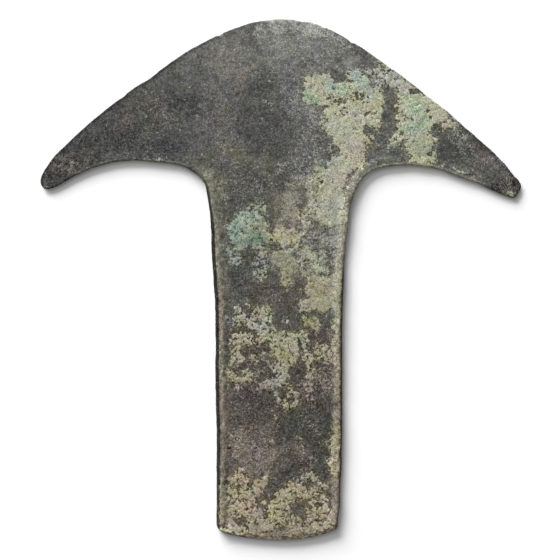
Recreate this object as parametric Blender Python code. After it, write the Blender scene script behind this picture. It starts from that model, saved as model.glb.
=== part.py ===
"""Copper axe money: a thin T-shaped blade, hammered out of one cast copper blank.

It lies on its back. +Y runs up the shaft to the crown of the crescent blade, +Z comes out
of the front face, and the origin is the bottom centre of its box. Sizes are in millimetres
and become metres when the mesh is made.
"""

import math
from collections import namedtuple

import bmesh
import bpy
import numpy as np
from mathutils import Vector
from mathutils.geometry import delaunay_2d_cdt, interpolate_bezier

MM = 0.001

# Driving sizes.
LENGTH = 150.0  # end of the shaft to the crown of the blade
SPAN = 138.6  # wing tip to wing tip
BODY_THICKNESS = 0.9  # the sheet in the shaft and in the middle of the blade
EDGE_THICKNESS = 0.5  # the sheet at the cutting edge
TAPER = 15.0  # how far in from the cutting edge the sheet reaches its full thickness
RIM_FRONT = 0.9  # the raised rim above the front of the sheet, along the shaft
RIM_BACK = 0.45  # the same rim below the back of the sheet
RIM_WIDTH = 1.7  # from the side wall to the inner edge of the rim's flat top
RIM_FOOT = 2.6  # from the side wall to where the rim has sunk back into the sheet

# The side wall is rounded: it bulges out at mid height and turns in to each face.
MIDDLE_Z = RIM_BACK + BODY_THICKNESS / 2
SHOULDER_INSET = 0.4
CHEEK_INSET = 0.1
CHEEK_HEIGHT = 0.6  # share of the way up from mid height to the shoulder
END_BEVEL = 0.6  # the shaft's end slopes back further than this on the front face only

# How finely the outline and the two faces are cut into facets.
STRAIGHT_STEP = 2.2
TURN_STEP = math.radians(10)
LATTICE = 4.5
SNUG = 0.995  # share of its inset that a rim line keeps from every part of the wall

# The outline, walked counter-clockwise with the metal on the left. A knot is a place on it,
# the direction in which the edge runs there, in degrees from +X, how much of the rim's
# height the edge has there, and 1 where the edge is the shaft's sloping end.
Knot = namedtuple("Knot", "x y heading rim end", defaults=(0.0, 0.0))
LEFT_FLANK = [
    Knot(0.1, 75.0, 180),
    Knot(-12.8, 72.8, 200),
    Knot(-22.5, 68.4, 208),
    Knot(-34.6, 60.5, 219),
    Knot(-37.9, 58.0, 209),
    Knot(-41.7, 55.6, 212),
    Knot(-44.9, 53.3, 219),
    Knot(-54.4, 45.8, 220),
    Knot(-62.5, 38.4, 223),
    Knot(-67.3, 32.9, 238),
]
LEFT_TIP = [
    Knot(-69.4, 28.4, 268),
    Knot(-67.4, 26.1, 5),
]
LEFT_UNDERSIDE = [
    Knot(-59.4, 29.8, 30, rim=0.3),
    Knot(-51.6, 33.1, 16, rim=0.45),
    Knot(-42.4, 34.4, 0, rim=0.5),
    Knot(-31.5, 33.5, -6, rim=0.6),
]
LEFT_SIDE = [
    Knot(-22.9, 29.5, 311, rim=0.8),
    Knot(-20.5, 21.2, 276, rim=1.0),
    Knot(-19.9, 7.5, 273, rim=1.0),
    Knot(-19.0, -8.0, 272, rim=1.0),
    Knot(-18.6, -25.0, 270, rim=1.0),
    Knot(-18.4, -70.6, 270, rim=1.0),
]
SHAFT_END = [
    Knot(-16.7, -73.2, 341, rim=0.2, end=1.0),
    Knot(-6.4, -74.9, 353, end=1.0),
    Knot(6.0, -75.0, 6, end=1.0),
    Knot(15.4, -72.9, 15, rim=0.2, end=1.0),
]
RIGHT_SIDE = [
    Knot(16.8, -71.2, 94, rim=1.0),
    Knot(17.5, -64.0, 93, rim=1.0),
    Knot(18.0, -53.0, 90, rim=1.0),
    Knot(17.9, -17.5, 90, rim=1.0),
    Knot(18.3, 3.0, 88, rim=1.0),
    Knot(19.6, 15.8, 81, rim=1.0),
    Knot(23.0, 27.5, 57, rim=0.8),
]
RIGHT_UNDERSIDE = [
    Knot(27.7, 31.3, 21, rim=0.6),
    Knot(37.3, 32.8, 0, rim=0.5),
    Knot(49.3, 31.0, -18, rim=0.5),
    Knot(61.7, 25.8, -22, rim=0.3),
]
# The right tip is worn to a blunt end, with a small corner above and below.
RIGHT_TIP = [
    Knot(66.6, 23.8, -22),
    Knot(68.2, 24.4, 66),
    Knot(69.1, 26.9, 96),
    Knot(68.2, 29.1, 126),
]
RIGHT_FLANK = [
    Knot(66.4, 30.8, 131),
    Knot(61.0, 36.7, 136),
    Knot(54.1, 42.9, 139),
    Knot(33.5, 59.8, 144),
    Knot(23.0, 67.1, 147),
    Knot(11.4, 73.3, 161),
]
OUTLINE = (
    LEFT_FLANK
    + LEFT_TIP
    + LEFT_UNDERSIDE
    + LEFT_SIDE
    + SHAFT_END
    + RIGHT_SIDE
    + RIGHT_UNDERSIDE
    + RIGHT_TIP
    + RIGHT_FLANK
)
CUTTING_EDGE_FROM = len(OUTLINE) - len(RIGHT_FLANK)
CUTTING_EDGE_TO = len(LEFT_FLANK) - 1


def direction(degrees):
    """The unit vector that points that way from +X."""
    return Vector((math.cos(math.radians(degrees)), math.sin(math.radians(degrees)), 0))


def stretch(start, finish):
    """Points from one knot up to the next, without the last.

    The curve leaves and arrives along the two headings. A handle of chord / (3 cos^2(a/4)),
    where a is the angle turned, makes it a circular arc wherever the headings allow one.
    """
    a = Vector((start.x, start.y, 0))
    b = Vector((finish.x, finish.y, 0))
    turned = math.radians((finish.heading - start.heading + 180) % 360 - 180)
    chord = (b - a).length
    handle = chord / (3 * math.cos(turned / 4) ** 2)
    steps = max(1, math.ceil(chord / STRAIGHT_STEP), math.ceil(abs(turned) / TURN_STEP))
    curve = interpolate_bezier(
        a,
        a + direction(start.heading) * handle,
        b - direction(finish.heading) * handle,
        b,
        steps + 1,
    )
    return np.array(curve)[:-1, :2]


def walk_outline():
    """The closed outline, and its rim share, end share and cutting-edge mark at each point."""
    points, rims, ends, cutting = [], [], [], []
    for i, start in enumerate(OUTLINE):
        finish = OUTLINE[(i + 1) % len(OUTLINE)]
        piece = stretch(start, finish)
        share = np.arange(len(piece)) / len(piece)
        points.append(piece)
        rims.append(start.rim + (finish.rim - start.rim) * share)
        ends.append(start.end + (finish.end - start.end) * share)
        sharp = i < CUTTING_EDGE_TO or i >= CUTTING_EDGE_FROM
        cutting.append(np.full(len(piece), sharp))
    points = np.concatenate(points)
    low, high = points.min(axis=0), points.max(axis=0)
    points = (points - (low + high) / 2) * (SPAN, LENGTH) / (high - low)
    return points, *(np.concatenate(part) for part in (rims, ends, cutting))


def outward(points):
    """The unit normal at each point of a counter-clockwise loop, pointing out of the metal."""
    before = points - np.roll(points, 1, axis=0)
    after = np.roll(points, -1, axis=0) - points
    before /= np.linalg.norm(before, axis=1)[:, None]
    after /= np.linalg.norm(after, axis=1)[:, None]
    along = before + after
    along /= np.linalg.norm(along, axis=1)[:, None]
    return np.stack([along[:, 1], -along[:, 0]], axis=1)


def distance_to(places, line):
    """How far each place is from the nearest point of a line given by its points."""
    return np.linalg.norm(places[:, None] - line[None], axis=2).min(axis=1)


def half_thickness(places, cutting_edge):
    """Half the sheet's thickness: thinnest at the cutting edge, with a smooth rise behind it."""
    depth = np.clip(distance_to(places, cutting_edge) / TAPER, 0, 1)
    rise = depth * depth * (3 - 2 * depth)
    return (EDGE_THICKNESS + (BODY_THICKNESS - EDGE_THICKNESS) * rise) / 2


def lattice(outline):
    """Places inside the outline on a staggered lattice, clear of the rim's own points."""
    low, high = outline.min(axis=0), outline.max(axis=0)
    rows = np.arange(low[1], high[1], LATTICE * math.sqrt(3) / 2)
    places = [
        (x, y)
        for row, y in enumerate(rows)
        for x in np.arange(low[0] + (row % 2) * LATTICE / 2, high[0], LATTICE)
    ]
    places = np.array(places)
    clear = distance_to(places, outline) > RIM_FOOT + LATTICE / 3
    return places[clear & inside(places, outline)]


def inside(places, loop):
    """Whether each place is inside the loop: a ray to the right crosses it an odd number of times."""
    x, y = places[:, :1], places[:, 1:]
    ax, ay = loop.T
    bx, by = np.roll(loop, -1, axis=0).T
    spans = (ay > y) != (by > y)
    rise = np.where(by == ay, 1, by - ay)
    return (spans & (x < ax + (y - ay) * (bx - ax) / rise)).sum(axis=1) % 2 == 1


def rim_line(outline, normals, rims, inset):
    """The line that keeps this distance from the wall, and where it counts.

    It counts where there is a rim, and where no other part of the wall comes nearer.
    """
    line = outline - normals * inset
    return line, (rims > 0) & (distance_to(line, outline) > SNUG * inset)


def face_points(outline, normals, rims, ends, cutting_edge, stand):
    """The points of one face, as (x, y, height from mid height), and its creases.

    stand is the rim's height over the sheet. The shoulder loop comes first, then the crest
    and the foot of the rim, then the sheet. A crease is a pair of points that an edge joins.
    """
    inset = SHOULDER_INSET + END_BEVEL * ends * (stand == RIM_FRONT)
    places = [outline - normals * inset[:, None]]
    lifts = [rims]
    creases = []
    for inset, lift in ((RIM_WIDTH, rims), (RIM_FOOT, np.zeros(len(rims)))):
        line, kept = rim_line(outline, normals, rims, inset)
        number = sum(map(len, places)) + np.cumsum(kept) - 1
        joined = kept & np.roll(kept, -1)
        creases.append(np.column_stack([number, np.roll(number, -1)])[joined])
        places.append(line[kept])
        lifts.append(lift[kept])
    sheet = lattice(outline)
    places = np.concatenate([*places, sheet])
    lifts = np.concatenate([*lifts, np.zeros(len(sheet))])
    height = half_thickness(places, cutting_edge) + stand * lifts
    return np.column_stack([places, height]), np.concatenate(creases)


def add_face(bm, points, creases, loop_length, side):
    """One face of the blade as triangles. side is +1 for the front and -1 for the back.

    Returns the face's shoulder loop, which the side wall joins.
    """
    flat, _, triangles, *_ = delaunay_2d_cdt(
        [Vector(p) for p in points[:, :2]],
        creases.tolist(),
        [list(range(loop_length))],
        1,
        1e-6,
    )
    if len(flat) != len(points):
        raise ValueError("the rim's lines cross each other")
    verts = [bm.verts.new((x, y, MIDDLE_Z + side * h)) for x, y, h in points]
    for triangle in triangles:
        bm.faces.new([verts[i] for i in triangle])
    return verts[:loop_length]


def add_wall(bm, outline, normals, front, back):
    """The rounded side wall, as loops from the back's shoulder round to the front's."""
    middle = [bm.verts.new((x, y, MIDDLE_Z)) for x, y in outline]
    cheek = outline - normals * CHEEK_INSET

    def cheek_loop(shoulder):
        heights = [CHEEK_HEIGHT * (v.co.z - MIDDLE_Z) for v in shoulder]
        return [
            bm.verts.new((x, y, MIDDLE_Z + h))
            for (x, y), h in zip(cheek, heights, strict=True)
        ]

    loops = [back, cheek_loop(back), middle, cheek_loop(front), front]
    for lower, upper in zip(loops, loops[1:], strict=False):
        for i in range(len(outline)):
            j = (i + 1) % len(outline)
            bm.faces.new((lower[i], lower[j], upper[j], upper[i]))


def patinated_copper():
    """Dark mineral patina over copper."""
    material = bpy.data.materials.new("patinated_copper")
    material.use_nodes = True
    shader = material.node_tree.nodes["Principled BSDF"]
    shader.inputs["Base Color"].default_value = (0.085, 0.082, 0.068, 1)
    shader.inputs["Roughness"].default_value = 0.75
    shader.inputs["Metallic"].default_value = 0.3
    return material


def build_axe_money():
    """The whole object: two faces and the wall between them, closed into one solid."""
    outline, rims, ends, cutting = walk_outline()
    normals = outward(outline)
    edge_line = outline[cutting]
    bm = bmesh.new()
    loops = []
    for stand, side in ((RIM_BACK, -1), (RIM_FRONT, 1)):
        points, creases = face_points(outline, normals, rims, ends, edge_line, stand)
        loops.append(add_face(bm, points, creases, len(outline), side))
    add_wall(bm, outline, normals, front=loops[1], back=loops[0])
    bmesh.ops.scale(bm, vec=(MM, MM, MM), verts=bm.verts)
    bmesh.ops.recalc_face_normals(bm, faces=bm.faces)
    mesh = bpy.data.meshes.new("axe_money")
    bm.to_mesh(mesh)
    bm.free()
    mesh.shade_smooth()
    mesh.set_sharp_from_angle(angle=math.radians(40))
    mesh.materials.append(patinated_copper())
    axe_money = bpy.data.objects.new("axe_money", mesh)
    bpy.context.scene.collection.objects.link(axe_money)


for leftover in list(bpy.data.objects):
    bpy.data.objects.remove(leftover)
build_axe_money()
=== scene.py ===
import math

import bpy
import numpy as np
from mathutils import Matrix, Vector
from mathutils.geometry import delaunay_2d_cdt


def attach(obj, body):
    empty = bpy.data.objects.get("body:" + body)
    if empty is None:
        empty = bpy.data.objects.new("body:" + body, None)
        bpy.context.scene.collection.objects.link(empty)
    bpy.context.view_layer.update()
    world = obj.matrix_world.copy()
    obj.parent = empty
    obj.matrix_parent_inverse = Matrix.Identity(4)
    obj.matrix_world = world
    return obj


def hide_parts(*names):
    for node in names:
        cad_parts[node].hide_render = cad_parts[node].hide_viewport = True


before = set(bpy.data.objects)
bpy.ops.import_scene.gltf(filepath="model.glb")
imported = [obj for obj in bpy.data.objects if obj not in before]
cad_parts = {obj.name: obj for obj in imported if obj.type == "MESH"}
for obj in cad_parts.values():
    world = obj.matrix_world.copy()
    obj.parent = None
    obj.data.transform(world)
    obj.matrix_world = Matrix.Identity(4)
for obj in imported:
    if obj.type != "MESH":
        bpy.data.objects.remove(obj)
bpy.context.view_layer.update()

# ------------------------------------------------
# The studio: a plain white table in a pale room, a wide window beyond the left wing with a
# skylight above it, and a camera that looks straight down on the piece as it lies. Lengths
# are in metres here.

ROOM_LIGHT = 0.245
CAMERA_PLACE = (-0.0001, -0.0001, 0.4507)
TABLE_WHITE = (0.93, 0.93, 0.93, 1)

scene = bpy.context.scene
scene.view_settings.view_transform = "Standard"

lens = bpy.data.cameras.new("camera")
lens.lens = 100
lens.sensor_width = 36
lens.clip_start = 0.01
scene.camera = bpy.data.objects.new("camera", lens)
scene.camera.location = CAMERA_PLACE
scene.collection.objects.link(scene.camera)


def soft_light(name, place, width, height, power):
    """A soft panel of that size that faces the origin. Its power is in watts."""
    light = bpy.data.lights.new(name, "AREA")
    light.shape = "RECTANGLE"
    light.size = width
    light.size_y = height
    light.energy = power
    lamp = bpy.data.objects.new(name, light)
    lamp.location = place
    lamp.rotation_euler = (-Vector(place)).to_track_quat("-Z", "Y").to_euler()
    scene.collection.objects.link(lamp)


soft_light("window", (-1.76, 3.31, 1.40), width=3.0, height=1.66, power=374.0)
soft_light("skylight", (-1.77, 2.19, 2.84), width=2.6, height=2.6, power=40.0)

world = bpy.data.worlds.new("studio")
world.use_nodes = True
room = world.node_tree.nodes["Background"].inputs
room["Color"].default_value = (1, 1, 1, 1)
room["Strength"].default_value = ROOM_LIGHT
scene.world = world

bpy.ops.mesh.primitive_plane_add(size=3)
table = bpy.context.object
table.name = "table"
white = bpy.data.materials.new("white_table")
white.use_nodes = True
white_finish = white.node_tree.nodes["Principled BSDF"].inputs
white_finish["Base Color"].default_value = TABLE_WHITE
white_finish["Roughness"].default_value = 0.9
table.data.materials.append(white)

# ------------------------------------------------
# The edge of the blade: the line where the side wall bulges furthest out. It was hammered
# to this shape by hand, so it wavers a little. From here on lengths are in millimetres.

MM = 0.001
MIDDLE_Z = 0.9  # how high the edge lies over the table
STATION = 0.36  # from one place on the edge to the next
SWELL = 0.1  # the edge stands this far outside the solid's
WAVER = 0.05
# Small nicks and swellings along it: x, y, how far out and how wide.
DENTS = [
    # along the cutting edge, from the left tip to the right
    (-62, 38.8, -0.1, 1.5), (-57.5, 43.5, 0.12, 3), (-49, 50.3, 0.12, 3), (-45.6, 53, -0.12, 1),
    (-44, 54.1, 0.12, 1), (-42, 55.6, 0.1, 2), (-38.6, 57.8, -0.12, 2), (-34.6, 60.4, 0.16, 1.2),
    (-26, 66, 0.12, 2.5), (-17.6, 70.8, -0.32, 0.8), (-7.8, 74.2, 0.12, 2), (-0.5, 75, 0.25, 3),
    (3, 75, 0.12, 2), (6.2, 74.4, -0.15, 0.8), (8.5, 74, 0.2, 2), (12.2, 72.6, -0.3, 0.8),
    (20.3, 68.6, -0.32, 0.8), (48.5, 47.2, 0.28, 4), (56, 41.2, 0.15, 2.5), (60.5, 37.2, 0.25, 3),
    (64.6, 32.8, 0.3, 2.5), (67.6, 29.4, -0.25, 0.8), (69.2, 27.2, 0.2, 1),
    # under the wings and round the crooks
    (-64, 25.6, -0.15, 2.5), (-61, 28, -0.3, 3.5), (-26, 30.4, 0.2, 4), (-24.5, 30.5, 0.2, 3),
    (-20.8, 24, 0.35, 4), (21.2, 20, -0.25, 5), (21.6, 21.5, -0.12, 2.5), (22.8, 24.5, -0.22, 4),
    (25, 28.5, -0.12, 3), (26.5, 30, -0.35, 5.5), (28.5, 31.2, -0.22, 4), (35.5, 33, -0.22, 4),
    (50.5, 29, 0.6, 4.6), (63, 23.2, 0.32, 4),
    # down the shaft's sides
    (-19.4, -8, -0.12, 6), (-18.7, -27, 0.25, 8), (18.2, 7, -0.1, 7), (18, -8, -0.28, 8),
    (18, -22, -0.3, 8), (18, -36, -0.3, 8), (18, -50, -0.27, 8), (18.8, -56, -0.3, 12), (18, -64, -0.26, 8),
    (18.8, -71, -0.25, 4),
    # along its end
    (-7, -74.5, 0.28, 9), (6, -74.8, 0.2, 6), (17.2, -73.6, -0.2, 1.6),
]

cad_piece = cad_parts["axe_money"]
cad_points = np.empty(len(cad_piece.data.vertices) * 3)
cad_piece.data.vertices.foreach_get("co", cad_points)
cad_points = cad_points.reshape(-1, 3) / MM


def gradient_noise(places, size, seed):
    """Smooth noise from about -1 to 1 whose bumps are as wide as size.

    Each corner of a square lattice has a random slope. The value at a place is the blend of
    what its four corners' slopes give there, weighted by 6t^5 - 15t^4 + 10t^3.
    """
    turns = np.random.default_rng(seed).uniform(0, 2 * np.pi, (256, 256))
    cell = np.floor(places / size).astype(int)
    t = places / size - cell
    weight = t**3 * (t * (t * 6 - 15) + 10)

    def corner(right, up):
        turn = turns[(cell[:, 0] + right) % 256, (cell[:, 1] + up) % 256]
        return np.cos(turn) * (t[:, 0] - right) + np.sin(turn) * (t[:, 1] - up)

    low = corner(0, 0) + (corner(1, 0) - corner(0, 0)) * weight[:, 0]
    high = corner(0, 1) + (corner(1, 1) - corner(0, 1)) * weight[:, 0]
    return 1.4 * (low + (high - low) * weight[:, 1])


def cloud(places, size, octaves, seed, fade=0.55):
    """Noise on noise: each layer is half as wide as the last and fade times as strong.

    The sum is scaled to a spread of about 1 either side of 0.
    """
    strengths = fade ** np.arange(octaves)
    layers = [
        strength * gradient_noise(places + 37.7 * k, size / 2**k, seed + k)
        for k, strength in enumerate(strengths)
    ]
    return sum(layers) / (0.39 * np.sqrt((strengths**2).sum()))


def middle_loop():
    """The corners of the blade's edge at mid height, counter-clockwise.

    They are walked in the order in which the solid's triangles above mid height join them.
    """
    faces = np.empty(len(cad_piece.data.polygons) * 3, int)
    cad_piece.data.polygons.foreach_get("vertices", faces)
    corners, merged = np.unique(cad_points.round(3), axis=0, return_inverse=True)
    faces = merged.ravel()[faces].reshape(-1, 3)
    faces = faces[corners[faces, 2].mean(axis=1) > MIDDLE_Z]
    sides = np.concatenate([faces[:, [0, 1]], faces[:, [1, 2]], faces[:, [2, 0]]])
    sides = sides[(abs(corners[sides, 2] - MIDDLE_Z) < 0.005).all(axis=1)]
    onward = dict(sides.tolist())
    walk = [sides[0, 0]]
    while onward[walk[-1]] != walk[0]:
        walk.append(onward[walk[-1]])
    return corners[walk, :2]


def smooth_loop(corners, step):
    """A closed curve through the corners, cut into places one step apart.

    Between two corners it is a cubic. Its slope at a corner is the two chords' slopes,
    each weighted by the other chord's length.
    """
    ahead = np.roll(corners, -1, axis=0) - corners
    length = np.linalg.norm(ahead, axis=1)[:, None]
    before = np.roll(length, 1)
    slope = (ahead / length * before + np.roll(ahead / length, 1, axis=0) * length) / (before + length)
    t = np.linspace(0, 1, 16, endpoint=False)[None, :, None]
    start, finish = corners[:, None], np.roll(corners, -1, axis=0)[:, None]
    leave, arrive = (slope * length)[:, None], (np.roll(slope, -1, axis=0) * length)[:, None]
    fine = (
        start * (2 * t**3 - 3 * t**2 + 1)
        + leave * (t**3 - 2 * t**2 + t)
        + finish * (3 * t**2 - 2 * t**3)
        + arrive * (t**3 - t**2)
    ).reshape(-1, 2)
    fine = np.vstack([fine, fine[:1]])
    run = np.concatenate([[0], np.cumsum(np.linalg.norm(np.diff(fine, axis=0), axis=1))])
    stops = np.linspace(0, run[-1], round(run[-1] / step), endpoint=False)
    return np.stack([np.interp(stops, run, fine[:, axis]) for axis in (0, 1)], axis=1)


def outward(loop):
    """The unit normal at each place of a counter-clockwise loop, pointing out of the metal."""
    along = np.roll(loop, -1, axis=0) - np.roll(loop, 1, axis=0)
    along /= np.linalg.norm(along, axis=1)[:, None]
    return np.stack([along[:, 1], -along[:, 0]], axis=1)


edge = smooth_loop(middle_loop(), STATION)
edge_out = outward(edge)
swell = SWELL + WAVER * cloud(edge, 5.0, 3, seed=11)
for x, y, out, width in DENTS:
    # each is a bell: out times e to the power of minus the squared distance in widths
    swell += out * np.exp(-((edge - (x, y)) ** 2).sum(axis=1) / width**2)
edge += edge_out * swell[:, None]
edge_out = outward(edge)

# ------------------------------------------------
# The metal: a cast copper blank hammered out thin. The blade thins to its cutting edge,
# and the metal pushed aside stands up as a low rim along the shaft and under the wings.

BODY_THICKNESS = 0.9
EDGE_THICKNESS = 0.5
TAPER = 15.0
RIM_MIDDLE = 1.1  # from the wall in to the middle of the rim
RIM_CREST = 1.3  # the rim is at full height out to here
RIM_FOOT = 3.5  # and has sunk into the sheet here
UNEVEN = 0.13  # the rim's height swings by this share
WANDER = 0.12  # and its foot moves in and out by this much
SHOULDER = 0.6  # the wall rounds over into the faces in this width
HAMMERING = 0.05
BURR = 0.35


def rise(low, high, value):
    """0 below low, 1 above high, and 3t^2 - 2t^3 between."""
    t = np.clip((value - low) / (high - low), 0, 1)
    return t * t * (3 - 2 * t)


def fall(low, high, value):
    """1 below low, 0 above high, and smooth between."""
    return 1 - rise(low, high, value)


def nearest(places, line, block=3000):
    """How far each place is from the line's nearest place, and which one that is."""
    gaps, found = [], []
    for first in range(0, len(places), block):
        part = places[first : first + block]
        square = ((part[:, None] - line[None]) ** 2).sum(axis=2)
        which = square.argmin(axis=1)
        found.append(which)
        gaps.append(np.sqrt(square[np.arange(len(part)), which]))
    return np.concatenate(gaps), np.concatenate(found)


def half_sheet(places):
    """Half the sheet's thickness, which falls towards the cutting edge along a smooth step."""
    sharp = edge[(edge_out[:, 1] > 0.15) & (edge[:, 1] > 20)]
    depth, _ = nearest(places, sharp[::3])
    return (EDGE_THICKNESS + (BODY_THICKNESS - EDGE_THICKNESS) * rise(0, TAPER, depth)) / 2


def rim_heights(side):
    """How far the rim stands over the sheet at each place on the edge, on that side.

    It is measured on the solid, one ray every few places along the middle of the rim.
    """
    sparse = np.arange(0, len(edge), 6)
    spots = edge[sparse] - RIM_MIDDLE * edge_out[sparse]
    tops = []
    for x, y in spots:
        _, hit, _, _ = cad_piece.ray_cast((x * MM, y * MM, side * 0.01), (0, 0, -side))
        tops.append(side * (hit[2] / MM - MIDDLE_Z))
    stand = np.clip(np.array(tops) - half_sheet(spots), 0, None)
    return np.interp(np.arange(len(edge)), sparse, stand, period=len(edge))


def end_of_shaft(y, facing):
    """1 where the edge faces down the shaft at its very end, and 0 elsewhere."""
    return rise(0.5, 0.8, -facing) * fall(-71, -69, y)


rim_front = rim_heights(1)
# under the wings the front's rim is worn down, more so on the left
rim_front *= 1 - 0.5 * rise(22, 30, -edge[:, 0]) - 0.35 * rise(24, 32, edge[:, 0])
rim_back = rim_heights(-1)
burr = BURR * end_of_shaft(edge[:, 1], edge_out[:, 1])


def metal_height(places, gap, station, side):
    """The height of the bare metal over mid height.

    It is half the sheet, plus the rim times a smooth step down from its crest to its foot,
    plus shallow hammer marks that fade out at the wall. The rim's crown falls with the
    square of the distance from its top, and the front has the burr too.
    """
    rim = rim_front if side > 0 else rim_back
    unevenness = 1 + UNEVEN * cloud(places, 7.0, 2, seed=21 + side)
    foot = WANDER * cloud(places, 5.0, 2, seed=25 + side)
    profile = fall(RIM_CREST + foot, RIM_FOOT + foot, gap)
    crown = 1 - 0.12 * ((gap - 1.0) / 0.7) ** 2 * (gap < 1.7)
    marks = HAMMERING * cloud(places, 11.0, 3, seed=31 + side) * rise(0, 4, gap)
    raised = burr[station] * fall(SHOULDER, RIM_MIDDLE, gap) if side > 0 else 0
    return half_sheet(places) + rim[station] * profile * crown * unevenness + marks + raised


# ------------------------------------------------
# The points of the skin: rows that follow the edge under the rim, then a staggered field
# of points over the rest of each face. The back is plainer and has fewer.

FRONT_ROWS = (0.95, 1.3, 1.65, 2.0, 2.35, 2.7)  # how far in each row lies
FRONT_SPACING = 0.38
BACK_ROWS = (1.1, 1.75, 2.4)
BACK_SPACING = 0.85
FIELD_FROM = 3.0  # the rows end and the field begins this far in
CROWDED = 0.4  # of points closer than this share of the spacing one is kept


def rows_and_field(rows, along, spacing):
    """Places inside the shoulder: rows at those insets, and a staggered field within them.

    A place is inside where the nearest place of the edge lies outward from it.
    """
    parts = []
    for k, inset in enumerate(rows):
        which = np.arange((k % 2) * (along // 2), len(edge), along)
        row = edge[which] - inset * edge_out[which]
        gap, _ = nearest(row, edge)
        parts.append(row[gap > 0.985 * inset])
    low, high = edge.min(axis=0), edge.max(axis=0)
    levels = np.arange(low[1], high[1], spacing * math.sqrt(3) / 2)
    across = np.arange(low[0], high[0], spacing)
    field = np.stack(np.meshgrid(across, levels), axis=2)
    field[1::2, :, 0] += spacing / 2
    field = field.reshape(-1, 2)
    gap, station = nearest(field, edge)
    inside = ((edge[station] - field) * edge_out[station]).sum(axis=1) > 0
    parts.append(field[inside & (gap > FIELD_FROM)])
    places = np.concatenate(parts)
    cells = (places / (CROWDED * spacing)).round().astype(int)
    _, first = np.unique(cells, axis=0, return_index=True)
    return places[np.sort(first)]


def triangulate(shoulder, places):
    """Triangles over the shoulder loop and the places inside it, no point inside another's circle."""
    points = np.concatenate([shoulder, places])
    flat, _, triangles, *_ = delaunay_2d_cdt(
        [Vector(p) for p in points], [], [list(range(len(shoulder)))], 1, 1e-7
    )
    if len(flat) != len(points):
        raise ValueError("two points of the skin fall together")
    return points, np.array(triangles)


shoulder = edge - SHOULDER * edge_out
front_points, front_faces = triangulate(shoulder, rows_and_field(FRONT_ROWS, 1, FRONT_SPACING))
back_points, back_faces = triangulate(shoulder, rows_and_field(BACK_ROWS, 2, BACK_SPACING))
front_gap, front_station = nearest(front_points, edge)
back_gap, back_station = nearest(back_points, edge)

# ------------------------------------------------
# The patina's growths: green and tan copper salts that crept over the metal in the ground.
# Each is a chain of round blots (x, y, radius), with the radius sliding from one to the
# next, or a blot by itself. Each list runs from the crown and wings down to the shaft's end.

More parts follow.
